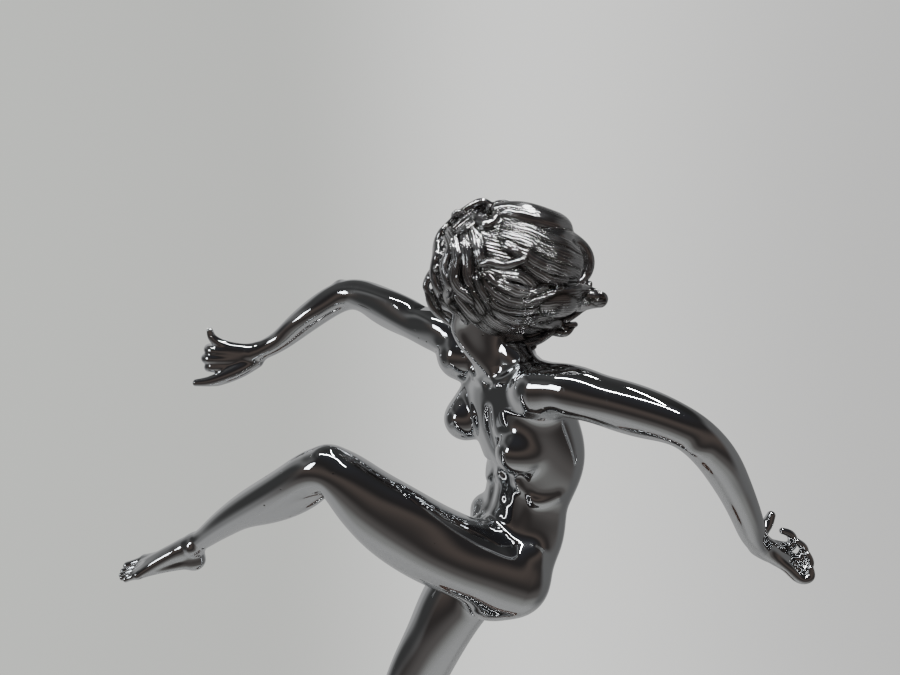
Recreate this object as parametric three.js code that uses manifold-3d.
// Leaping-figure car mascot: chrome-plated castings on a domed cap, bolted to a turned display plinth.
// Units are millimetres, +Z is up, and the figure leaps towards -X. The origin is at the middle of the
// plinth, on the surface that its rubber feet stand on.
import * as THREE from "three";
import { mergeVertices } from "three/addons/utils/BufferGeometryUtils.js";
import Module from "manifold-3d";

const wasm = await Module();
wasm.setup();

// Driving dimensions
const GAP = 0.3; // between pieces that touch
const PIN_RADIUS = 1.2;
const FOOT = { radius: 7, height: 5, circle: 44, count: 4 };
const SCREW = { shank: 1.5, head: 3, headHeight: 1.8, headBottom: 1.4, top: 15 };
const PLINTH = { bottom: FOOT.height + GAP, top: 85, radius: 56, step: 50, drum: 38, crown: 41 };
const COUNTERBORE = { radius: 16, ceiling: 27 };
const STUD = { radius: 4, bottom: 8, top: 104 };
const GASKET = { inner: 24, outer: 30, thickness: 2 };
const CAP = { radius: 33, shoulder: 29, landing: 15, top: 116 };
const TURN_STOP = { radius: 2, offset: 20, depth: 7 };
const WASHER = { radius: 10, thickness: 1.6 };
const SPRING_WASHER = { radius: 7, thickness: 2, slot: 1.2 };
const NUT = { acrossFlats: 13, thickness: 6.5, chamfer: 0.6 };

const gasketBottom = PLINTH.top + GAP;
const capBottom = gasketBottom + GASKET.thickness + GAP;
const washerBottom = COUNTERBORE.ceiling - GAP - WASHER.thickness;
const springWasherBottom = washerBottom - GAP - SPRING_WASHER.thickness;
const nutBottom = springWasherBottom - GAP - NUT.thickness;

// The figure's stations: [x, y, z, radius] down the middle of each limb.
const NECK = [
  [13, -5, 291, 5.6],
  [12, -5, 296, 5.3],
  [8.5, -5.5, 303, 5],
  [6.5, -6, 310, 5.3],
  [7, -6.5, 316, 6],
];
const LEFT_ARM = [
  [20, -17, 296, 5],
  [26, -21, 296, 5.7],
  [33, -26, 295.5, 5.2],
  [40, -31, 294.5, 4.8],
  [47, -34, 292, 4.3],
  [54, -33, 286, 4.2],
  [60, -29, 278, 3.8],
  [66, -24, 267, 3],
  [71, -20, 259, 2.6],
  [76, -18, 255, 2.8],
];
const RIGHT_ARM = [
  [2, 6, 302.5, 5],
  [-4, 11, 304.5, 5.4],
  [-12, 17, 307.5, 5.1],
  [-21, 24, 311, 4.8],
  [-29.5, 29, 312.5, 4.6],
  [-37.5, 31, 309, 4.5],
  [-47, 32, 302, 3.7],
  [-56.5, 33, 295.5, 2.6],
  [-62, 33, 294.5, 2.9],
];
const LEFT_LEG = [
  [15, -12.5, 247, 9.2],
  [4, -15, 253, 9.4],
  [-9, -17, 260.8, 9],
  [-20.5, -19.5, 271, 7.9],
  [-28.3, -20.5, 277.8, 5.6],
  [-37, -17, 273.8, 5],
  [-50.5, -8.5, 263.8, 4.9],
  [-62, -1, 254.6, 3.6],
  [-68, 2.7, 249.3, 2.9],
  [-72, 4.6, 246.4, 2.6],
];
const LEFT_FOOT = [
  [-66.5, 3.3, 248, 3],
  [-72.5, 4.8, 245, 3.5],
  [-79.5, 6, 242.2, 3.2],
  [-86.5, 7.2, 239.3, 2.6],
  [-91.8, 8, 237.6, 1.8],
];
const RIGHT_LEG = [
  [8, 4.5, 239, 10],
  [0.5, 4, 228, 10],
  [-7, 4, 215, 8.9],
  [-14.8, 3.7, 201.5, 7.5],
  [-20.8, 3.5, 190.5, 6],
  [-17.2, 3.2, 178.5, 5.5],
  [-9.2, 2.8, 166, 5.5],
  [-1.5, 2.3, 152, 4],
  [2.6, 2, 142, 3],
  [3.6, 1.9, 137, 2.8],
];
const RIGHT_FOOT = [
  [4, 2, 143, 3],
  [2, 1.8, 135.5, 3.8],
  [-2, 1.5, 127, 3.9],
  [-6.5, 1.3, 121, 3.6],
  [-12, 1.1, 118.6, 2.2],
];

// Torso stations: middle, half width, half depth, and the direction from the left side to the right.
const TORSO = [
  { at: [8, -3.5, 232.5], wide: 8.5, deep: 7, across: [-0.41, 0.84, -0.36] },
  { at: [11, -3.8, 239.5], wide: 14, deep: 10.6, across: [-0.41, 0.84, -0.36] },
  { at: [14, -4, 247], wide: 14, deep: 11, across: [-0.42, 0.85, -0.3] },
  { at: [17.3, -5, 256.5], wide: 12, deep: 9.8, across: [-0.48, 0.86, -0.15] },
  { at: [18.8, -5.5, 265.5], wide: 11.2, deep: 9, across: [-0.55, 0.83, 0] },
  { at: [19, -5.3, 276], wide: 13.5, deep: 10.8, across: [-0.6, 0.79, 0.1] },
  { at: [17.2, -4.8, 286], wide: 15.5, deep: 11, across: [-0.63, 0.76, 0.17] },
  { at: [14.8, -4.6, 295], wide: 14.5, deep: 8.6, across: [-0.64, 0.75, 0.19] },
  { at: [13.6, -4.6, 300.5], wide: 8, deep: 6, across: [-0.64, 0.75, 0.19] },
];

// Lumps: middle, radii and the direction of the first radius.
const CHEST_FRONT = [-0.76, -0.62, 0.1];
const BREASTS = [
  { at: [5, 1.2, 284.8], radius: 5.6 },
  { at: [15.5, -14.8, 281.5], radius: 5.6 },
];
const BUTTOCKS = [
  { at: [17, 4, 243], radius: 8.6 },
  { at: [17, -8, 245], radius: 9 },
];

// Head axes: the face looks along `face`, the crown is up along `crown`.
const HEAD = {
  middle: [7, -7, 322],
  face: [-0.82, 0.46, 0.33],
  crown: [0.36, -0.12, 0.92],
  height: 26,
};

// Locks of hair: each is a list of stations like a limb's.
const HAIR_MASS = { at: [14.5, -7.5, 323.5], radii: [16, 14, 13.5] };
const LOCKS = [
  [[2, -8, 333, 3], [9, -7, 334, 5.2], [19, -8, 330.5, 6.8], [28, -7, 324.5, 6.2], [33.5, -6, 321.5, 2]],
  [[8, -12, 326, 5], [18, -12, 320, 6.5], [28, -8, 316, 5], [36, -5, 315, 1.8]],
  [[6, -10, 315, 4], [14, -10, 312, 6], [22, -7, 309, 5], [27, -5, 307, 1.8]],
  [[2, -11, 328, 3], [-1, -12, 326, 3.6], [-3, -11, 320, 2.8], [-4.5, -10, 314, 1.4]],
  [[8, 4, 328, 4], [18, 3, 322, 6], [27, 1, 317, 4], [31, 0, 314, 1.5]],
];

const chrome = { color: 0xc9cbcd, roughness: 0.08, metalness: 1 };
const steel = { color: 0x9a9c9f, roughness: 0.3, metalness: 1 };
const brass = { color: 0xb08d4c, roughness: 0.35, metalness: 1 };
const rubber = { color: 0x1a1a1a, roughness: 0.85, metalness: 0 };
const wood = { color: 0x3a2317, roughness: 0.35, metalness: 0 };

// Solids

// A geometry as a manifold solid with its faces pointing out.
function solid(geometry) {
  const bare = geometry.index ? geometry.toNonIndexed() : geometry.clone();
  bare.deleteAttribute("normal");
  bare.deleteAttribute("uv");
  const merged = mergeVertices(bare, 1e-4);
  const vertProperties = merged.attributes.position.array;
  const triVerts = new Uint32Array(merged.index.array);
  const made = new wasm.Manifold(new wasm.Mesh({ numProp: 3, vertProperties, triVerts }));
  if (made.volume() > 0) return made;
  return new wasm.Manifold(
    new wasm.Mesh({ numProp: 3, vertProperties, triVerts: triVerts.slice().reverse() }),
  );
}

function geometryOf(manifold) {
  const { vertProperties, triVerts } = manifold.getMesh();
  const geometry = new THREE.BufferGeometry();
  geometry.setAttribute("position", new THREE.BufferAttribute(new Float32Array(vertProperties), 3));
  geometry.setIndex(new THREE.BufferAttribute(new Uint32Array(triVerts), 1));
  geometry.computeVertexNormals();
  return geometry;
}

const join = (solids) => solids.reduce((sum, next) => sum.add(next));
const cut = (body, tools) => tools.reduce((left, tool) => left.subtract(tool), body);

// Radius of a round-ended bar at the share u of its length, where each end takes the share `cap`.
function endRound(u, cap) {
  const fromEnd = Math.min(u, 1 - u);
  return fromEnd >= cap ? 1 : Math.sqrt(1 - ((cap - fromEnd) / cap) ** 2);
}

// A sphere bent and stretched into a closed bar through the stations, each {at, wide, deep, across}.
function loft(stations, { sides = 10, rings = 14, cap = 0.1, grow = 0 } = {}) {
  const line = new THREE.CatmullRomCurve3(stations.map((s) => new THREE.Vector3(...s.at)));
  const girth = new THREE.CatmullRomCurve3(
    stations.map((s) => new THREE.Vector3(s.wide + grow, s.deep + grow, 0)),
  );
  const across = new THREE.CatmullRomCurve3(stations.map((s) => new THREE.Vector3(...s.across)));
  const geometry = new THREE.SphereGeometry(1, sides, rings);
  const position = geometry.attributes.position;
  const unit = new THREE.Vector3();
  for (let i = 0; i < position.count; i++) {
    unit.fromBufferAttribute(position, i);
    const angle = Math.acos(THREE.MathUtils.clamp(unit.y, -1, 1));
    const u = THREE.MathUtils.clamp(angle / Math.PI / 2 + (1 - unit.y) / 4, 0, 1);
    const ringRadius = Math.hypot(unit.x, unit.z) || 1;
    const size = girth.getPoint(u).multiplyScalar(endRound(u, cap));
    const along = line.getTangent(u);
    const side = across.getPoint(u);
    side.addScaledVector(along, -side.dot(along)).normalize();
    const front = new THREE.Vector3().crossVectors(along, side);
    const place = line.getPoint(u);
    place.addScaledVector(along, (u < 0.5 ? -grow : grow) * (1 - endRound(u, cap)));
    place.addScaledVector(side, (unit.x / ringRadius) * size.x);
    place.addScaledVector(front, (unit.z / ringRadius) * size.y);
    const onAxis = Math.abs(unit.y) > 1 - 1e-6;
    if (onAxis) place.copy(line.getPoint(u)).addScaledVector(along, u < 0.5 ? -grow : grow);
    position.setXYZ(i, place.x, place.y, place.z);
  }
  return solid(geometry);
}

// A round limb through [x, y, z, radius] stations.
function limb(stations, options) {
  const first = new THREE.Vector3(...stations[0].slice(0, 3));
  const last = new THREE.Vector3(...stations.at(-1).slice(0, 3));
  const run = last.sub(first);
  const side = Math.abs(run.z) > run.length() / 2 ? [0, 1, 0] : [0, 0, 1];
  const full = stations.map(([x, y, z, r]) => ({ at: [x, y, z], wide: r, deep: r, across: side }));
  return loft(full, options);
}

// The turn that takes +X to a direction.
function pointing(...direction) {
  const toward = new THREE.Vector3(...direction).normalize();
  return new THREE.Quaternion().setFromUnitVectors(new THREE.Vector3(1, 0, 0), toward);
}

// An ellipsoid, turned after its radii are set along X, Y and Z.
function lump(at, radii, turn = new THREE.Quaternion(), detail = 10) {
  const geometry = new THREE.SphereGeometry(1, detail, detail - 2);
  geometry.scale(...radii);
  geometry.applyQuaternion(turn);
  geometry.translate(...at);
  return solid(geometry);
}

// A straight round bar between two points.
function bar(from, to, radius, sides = 8) {
  const a = new THREE.Vector3(...from);
  const b = new THREE.Vector3(...to);
  const geometry = new THREE.CylinderGeometry(radius, radius, a.distanceTo(b), sides);
  const along = b.clone().sub(a).normalize();
  geometry.applyQuaternion(new THREE.Quaternion().setFromUnitVectors(new THREE.Vector3(0, 1, 0), along));
  geometry.translate(...a.add(b).multiplyScalar(0.5));
  return solid(geometry);
}

// A profile of [radius, height] points turned about the Z axis.
function turned(profile, segments = 24) {
  const geometry = new THREE.LatheGeometry(
    profile.map(([r, z]) => new THREE.Vector2(r, z)),
    segments,
  );
  return solid(geometry.rotateX(Math.PI / 2));
}

// A flat ring or disc with square edges, from z = 0 up.
function ring(outer, inner, thickness, segments = 24) {
  return turned([[inner, 0], [outer, 0], [outer, thickness], [inner, thickness], [inner, 0]], segments);
}

// Figure

const headAxes = (() => {
  const face = new THREE.Vector3(...HEAD.face).normalize();
  const crown = new THREE.Vector3(...HEAD.crown);
  crown.addScaledVector(face, -crown.dot(face)).normalize();
  const left = new THREE.Vector3().crossVectors(crown, face);
  const turn = new THREE.Quaternion().setFromRotationMatrix(new THREE.Matrix4().makeBasis(face, left, crown));
  return { face, crown, left, turn };
})();

// A point of the head, given forward, up and to its left of the skull's middle.
function headPoint(forward, up, left = 0) {
  return new THREE.Vector3(...HEAD.middle)
    .addScaledVector(headAxes.face, forward)
    .addScaledVector(headAxes.crown, up)
    .addScaledVector(headAxes.left, left)
    .toArray();
}

// A locating pin across a joint, and the bore that clears it.
const pinEnds = {
  neck_pin: [[12.7, -5, 288], [10.6, -5.2, 299.5]],
  hair_pin: [headPoint(-6, 3), headPoint(-15, 5)],
  left_shoulder_pin: [[16, -14.5, 295.5], [28, -22.3, 295.8]],
  right_shoulder_pin: [[6.5, 2, 300.5], [-5.5, 12.2, 305]],
  left_hip_pin: [[19.5, -11.2, 244.5], [7.5, -14.2, 251]],
  right_hip_pin: [[11.5, 4.6, 244.5], [3.5, 4.2, 232.5]],
  foot_pin: [[-6, 1.4, 109], [-6, 1.4, 121.5]],
};
const pins = Object.fromEntries(
  Object.entries(pinEnds).map(([name, [from, to]]) => [name, bar(from, to, PIN_RADIUS)]),
);

// The bore runs past both ends of its pin, so that the pin seats with room to spare.
function pinBore(name) {
  const from = new THREE.Vector3(...pinEnds[name][0]);
  const to = new THREE.Vector3(...pinEnds[name][1]);
  const extra = to.clone().sub(from).normalize().multiplyScalar(GAP);
  return bar(from.sub(extra).toArray(), to.add(extra).toArray(), PIN_RADIUS + GAP);
}

function headSolid(grow = 0) {
  const size = HEAD.height / 26;
  const lumpAt = (place, radii) => lump(headPoint(...place), radii.map((r) => r * size + grow), headAxes.turn);
  const nose = [[...headPoint(9, -0.5), 1.2], [...headPoint(11.6, -4), 1.5], [...headPoint(9, -5), 1]];
  return join([
    limb(NECK, { grow }),
    lumpAt([-0.5, 2], [11.6, 9.6, 11]),
    lumpAt([4.5, -4.5], [6.2, 6.6, 8.2]),
    lumpAt([6.2, -10.3], [3.6, 3.2, 3]),
    limb(nose, { sides: 6, rings: 6, cap: 0.3, grow }),
    ...[1, -1].map((side) => lumpAt([-1, -3, side * 8.4], [2, 1.4, 2.8])),
  ]);
}

const fingerLoft = { sides: 6, rings: 6, cap: 0.25 };

// Each hand: palm, thumb and four fingers.
function leftHand() {
  const fingers = [
    [[79, -16.6, 253.4, 1.2], [86, -16.8, 250.5, 1.1], [89.5, -16.3, 253.5, 0.9]],
    [[79.5, -15.7, 252.8, 1.2], [87.5, -14.8, 248.5, 1.1], [91.5, -14.2, 250.5, 0.9]],
    [[79.5, -14.9, 252.3, 1.2], [87.5, -12.8, 246.5, 1.1], [92, -12.2, 247, 0.9]],
    [[79, -14.2, 252, 1.1], [86, -10.8, 246, 1], [90, -10, 245, 0.8]],
    [[75.5, -17.4, 255.8, 1.3], [78.5, -17.5, 260.5, 1.2], [80, -17.6, 263, 0.8]],
  ];
  return [
    limb([[73, -19, 257, 2.3], [78, -16.6, 254, 3], [82, -14.8, 251.7, 2.2]], { sides: 8, rings: 8 }),
    ...fingers.map((f) => limb(f, fingerLoft)),
  ];
}

function rightHand() {
  const fingers = [
    [[-66, 31.6, 295.8, 1.2], [-70.5, 29.5, 299.5, 1.1], [-72.5, 29.3, 302.5, 0.9]],
    [[-67, 32.3, 295.2, 1.2], [-73.5, 31.3, 297, 1.1], [-76, 30.8, 299.5, 0.9]],
    [[-67, 33, 294.4, 1.2], [-74.5, 33.5, 293.5, 1.1], [-78, 33.5, 294.5, 0.9]],
    [[-66, 33.8, 293.8, 1.1], [-73, 35.5, 291, 1], [-76.5, 36, 290.5, 0.8]],
    [[-62.5, 32, 293.8, 1.3], [-69, 29.5, 289.5, 1.2], [-75, 28.5, 286.5, 0.8]],
  ];
  return [
    limb([[-59, 33, 295, 2.3], [-64.5, 32.8, 294.7, 3.1], [-70, 32.6, 294.6, 2.3]], { sides: 8, rings: 8 }),
    ...fingers.map((f) => limb(f, fingerLoft)),
  ];
}

const leftArm = (grow = 0) => limb(LEFT_ARM, { grow });
const rightArm = (grow = 0) => limb(RIGHT_ARM, { grow });
const leftLeg = (grow = 0) => limb(LEFT_LEG, { rings: 16, grow });
const rightLeg = (grow = 0) => limb(RIGHT_LEG, { rings: 16, grow });
const neckSocket = limb(NECK, { grow: GAP });

const torso = cut(
  join([
    loft(TORSO, { sides: 14, rings: 14, cap: 0.12 }),
    ...BREASTS.map(({ at, radius }) => lump(at, [radius + 0.8, radius, radius], pointing(...CHEST_FRONT))),
    ...BUTTOCKS.map(({ at, radius }) => lump(at, [radius, radius, radius])),
    lump([21, -15.5, 294.5], [7.6, 6.8, 7.2]),
    lump([3, 4.5, 299], [8, 7, 7]),
  ]),
  [
    leftArm(GAP),
    rightArm(GAP),
    leftLeg(GAP),
    rightLeg(GAP),
    neckSocket,
    ...["neck_pin", "left_shoulder_pin", "right_shoulder_pin", "left_hip_pin", "right_hip_pin"].map(pinBore),
  ],
);

const landing = bar([0, 0, CAP.top - 20], [0, 0, CAP.top + GAP], CAP.radius, 24);
const castings = {
  torso_casting: torso,
  head_casting: cut(headSolid(), [pinBore("neck_pin"), pinBore("hair_pin")]),
  hair_casting: cut(
    join([lump(HAIR_MASS.at, HAIR_MASS.radii), ...LOCKS.map((lock) => limb(lock, { sides: 8, rings: 8 }))]),
    [headSolid(GAP), lump(headPoint(11.5, -8), [7.5, 11, 12], headAxes.turn), pinBore("hair_pin")],
  ),
  left_arm_casting: cut(join([leftArm(), ...leftHand()]), [pinBore("left_shoulder_pin")]),
  right_arm_casting: cut(join([rightArm(), ...rightHand()]), [pinBore("right_shoulder_pin")]),
  left_leg_casting: cut(
    join([leftLeg(), limb(LEFT_FOOT, { rings: 10 }), lump([-67, 4.5, 243.8], [3, 2.4, 2.4])]),
    [pinBore("left_hip_pin")],
  ),
  right_leg_casting: cut(
    join([rightLeg(), limb(RIGHT_FOOT, { rings: 10 }), lump([7, 2, 138.8], [3.2, 2.8, 3.2])]),
    [leftLeg(GAP), pinBore("right_hip_pin"), pinBore("foot_pin"), landing],
  ),
};

// Cap and plinth

function capSolid() {
  const dome = new THREE.EllipseCurve(
    CAP.landing, capBottom + 7, CAP.shoulder - CAP.landing, CAP.top - capBottom - 7, 0, Math.PI / 2,
  );
  const outline = [
    [0, capBottom],
    [CAP.radius - 0.8, capBottom],
    [CAP.radius, capBottom + 0.8],
    [CAP.radius, capBottom + 3.4],
    [CAP.radius - 1.2, capBottom + 4.6],
    [CAP.shoulder + 1, capBottom + 5],
    ...dome.getPoints(6).map((p) => [p.x, p.y]),
    [0, CAP.top],
  ];
  const turnStop = bar(
    [TURN_STOP.offset, 0, capBottom - 1],
    [TURN_STOP.offset, 0, capBottom + TURN_STOP.depth + GAP],
    TURN_STOP.radius + GAP,
  );
  const studBore = bar([0, 0, capBottom - 1], [0, 0, STUD.top + GAP], STUD.radius + GAP, 16);
  return cut(turned(outline, 28), [turnStop, studBore, pinBore("foot_pin")]);
}

const footPlaces = Array.from({ length: FOOT.count }, (_, i) => {
  const angle = ((i + 0.5) * 2 * Math.PI) / FOOT.count;
  return [FOOT.circle * Math.cos(angle), FOOT.circle * Math.sin(angle)];
});

function plinthSolid() {
  const { bottom, top, radius, step, drum, crown } = PLINTH;
  const cove = new THREE.EllipseCurve(step - 4, bottom + 36, step - 4 - drum, 12, -Math.PI / 2, -Math.PI, true);
  const outline = [
    [0, bottom],
    [radius - 1, bottom],
    [radius, bottom + 1],
    [radius, bottom + 11],
    [radius - 1.5, bottom + 12.5],
    [step, bottom + 12.5],
    [step, bottom + 22.5],
    [step - 1.5, bottom + 24],
    ...cove.getPoints(4).map((p) => [p.x, p.y]),
    [drum, top - 11],
    [crown - 0.8, top - 9.5],
    [crown, top - 8],
    [crown, top - 2],
    [crown - 2, top],
    [0, top],
  ];
  const counterbore = bar([0, 0, 0], [0, 0, COUNTERBORE.ceiling], COUNTERBORE.radius, 24);
  const studBore = bar([0, 0, 0], [0, 0, top + 1], STUD.radius + 2 * GAP, 16);
  const turnStop = bar(
    [TURN_STOP.offset, 0, top - TURN_STOP.depth - GAP],
    [TURN_STOP.offset, 0, top + 1],
    TURN_STOP.radius + GAP,
  );
  const pilots = footPlaces.map(([x, y]) => bar([x, y, 0], [x, y, SCREW.top + GAP], SCREW.shank + GAP));
  return cut(turned(outline, 32), [counterbore, studBore, turnStop, ...pilots]);
}

function rubberFootSolid() {
  const { radius, height } = FOOT;
  const seat = SCREW.headBottom + SCREW.headHeight + GAP;
  return turned([
    [SCREW.head + GAP, 0],
    [radius - 0.8, 0],
    [radius, 0.8],
    [radius - 0.6, height],
    [SCREW.shank + GAP, height],
    [SCREW.shank + GAP, seat],
    [SCREW.head + GAP, seat],
    [SCREW.head + GAP, 0],
  ], 16);
}

function screwSolid() {
  const { shank, head, headHeight, headBottom, top } = SCREW;
  return turned([
    [0, headBottom],
    [head - 0.5, headBottom],
    [head, headBottom + 0.5],
    [head, headBottom + headHeight],
    [shank, headBottom + headHeight],
    [shank, top - 2],
    [0, top],
  ], 12);
}

function nutSolid() {
  const hexagon = new THREE.Shape();
  const corner = NUT.acrossFlats / 2 / Math.cos(Math.PI / 6);
  for (let i = 0; i < 6; i++) {
    const angle = (i * Math.PI) / 3;
    hexagon[i ? "lineTo" : "moveTo"](corner * Math.cos(angle), corner * Math.sin(angle));
  }
  hexagon.closePath();
  const prism = solid(new THREE.ExtrudeGeometry(hexagon, { depth: NUT.thickness, bevelEnabled: false }));
  const cone = turned([
    [0, 0],
    [corner - NUT.chamfer, 0],
    [corner, NUT.chamfer],
    [corner, NUT.thickness - NUT.chamfer],
    [corner - NUT.chamfer, NUT.thickness],
    [0, NUT.thickness],
  ], 18);
  const bore = bar([0, 0, -1], [0, 0, NUT.thickness + 1], STUD.radius + GAP, 16);
  return cut(prism.intersect(cone), [bore]);
}

function springWasherSolid() {
  const { radius, thickness, slot } = SPRING_WASHER;
  const gap = new THREE.BoxGeometry(radius * 2, slot, thickness * 3).translate(radius, 0, 0);
  return cut(ring(radius, STUD.radius + GAP, thickness, 20), [solid(gap)]);
}

const studSolid = turned([
  [0, STUD.bottom],
  [STUD.radius - 1, STUD.bottom],
  [STUD.radius, STUD.bottom + 1],
  [STUD.radius, STUD.top - 1],
  [STUD.radius - 1, STUD.top],
  [0, STUD.top],
], 16);
const turnStopSolid = bar([0, 0, -TURN_STOP.depth], [0, 0, capBottom - PLINTH.top + TURN_STOP.depth],
  TURN_STOP.radius);

// Scene graph

function part(name, manifold, look, position = [0, 0, 0]) {
  const mesh = new THREE.Mesh(geometryOf(manifold), new THREE.MeshStandardMaterial(look));
  mesh.name = name;
  mesh.position.set(...position);
  return mesh;
}

const figure = new THREE.Group();
for (const [name, casting] of Object.entries(castings)) figure.add(part(name, casting, chrome));
for (const [name, pin] of Object.entries(pins)) figure.add(part(name, pin, brass));

const capSet = new THREE.Group();
capSet.add(
  part("cap_casting", capSolid(), chrome),
  part("cap_gasket", ring(GASKET.outer, GASKET.inner, GASKET.thickness, 28), rubber, [0, 0, gasketBottom]),
  part("mounting_stud", studSolid, steel),
  part("turn_stop_pin", turnStopSolid, steel, [TURN_STOP.offset, 0, PLINTH.top]),
);

const fastening = new THREE.Group();
fastening.add(
  part("plain_washer", ring(WASHER.radius, STUD.radius + GAP, WASHER.thickness), steel, [0, 0, washerBottom]),
  part("spring_washer", springWasherSolid(), steel, [0, 0, springWasherBottom]),
  part("hex_nut", nutSolid(), steel, [0, 0, nutBottom]),
);

const stand = new THREE.Group();
stand.add(part("plinth", plinthSolid(), wood));
footPlaces.forEach(([x, y], i) => {
  stand.add(part(`rubber_foot_${i + 1}`, rubberFootSolid(), rubber, [x, y, 0]));
  stand.add(part(`foot_screw_${i + 1}`, screwSolid(), steel, [x, y, 0]));
});

const ornament = new THREE.Group();
ornament.add(figure, capSet, fastening, stand);

export default ornament;
